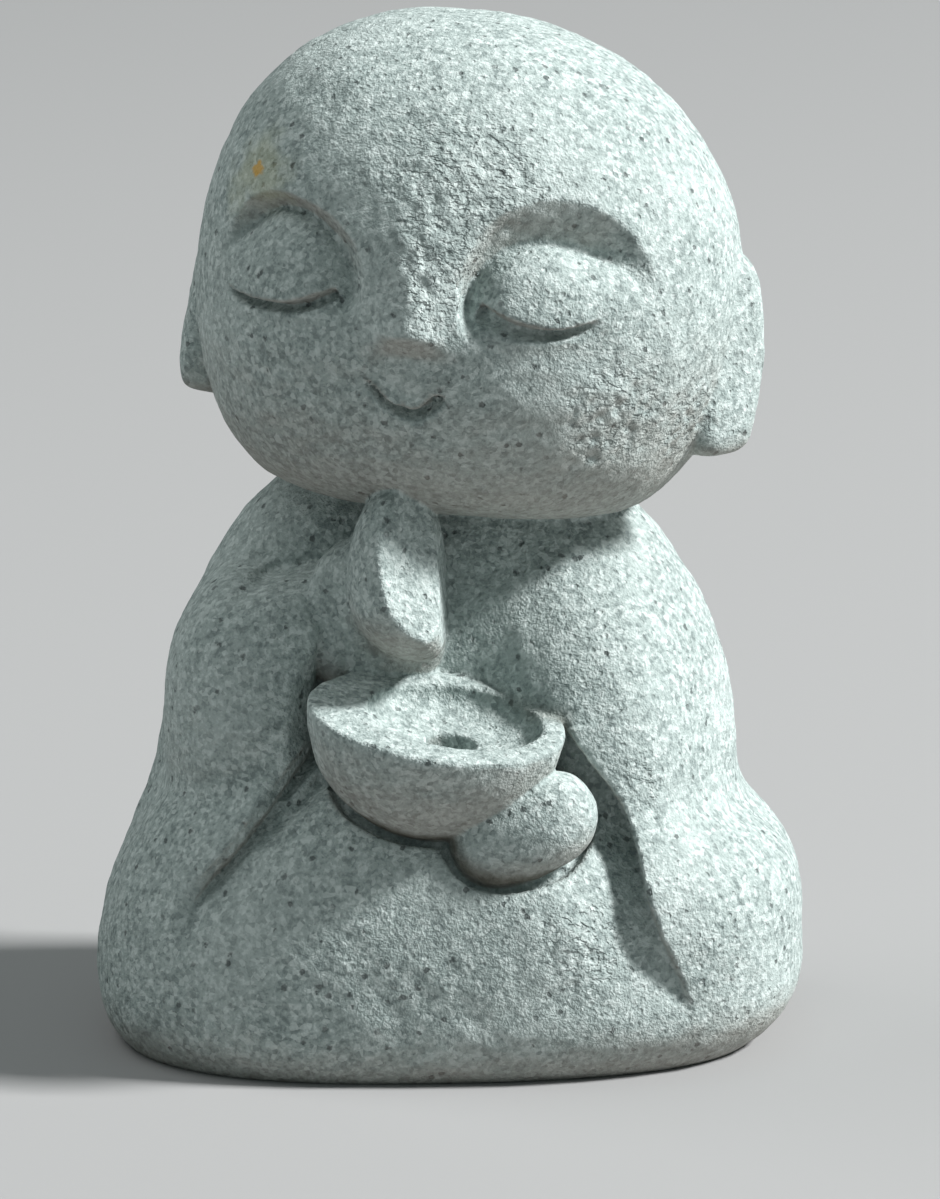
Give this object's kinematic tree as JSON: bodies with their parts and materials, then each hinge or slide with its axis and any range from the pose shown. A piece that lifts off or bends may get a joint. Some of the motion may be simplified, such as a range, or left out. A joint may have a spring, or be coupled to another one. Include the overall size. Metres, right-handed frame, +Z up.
{
  "type": "stone jizo statue",
  "caption": "Small seated jizo carved from one block of granite, with a bald, bowed head, closed eyes, one hand raised and a bowl held up in the other.",
  "frame": {"origin": "middle of the underside's bounding box, on the ground", "axes": "+Z up, -Y the way the figure faces, +X to the figure's own left"},
  "size_m": [0.2041, 0.1647, 0.296],
  "materials": {
    "granite": "grey-green fine-grained granite with light and dark grains, pecked on the forehead and cheek, dirt under the bowl, and a small orange lichen spot with a yellow-green stain on the forehead"
  },
  "bodies": {
    "root": {"jizo_statue": "granite"}
  },
  "joints": []
}
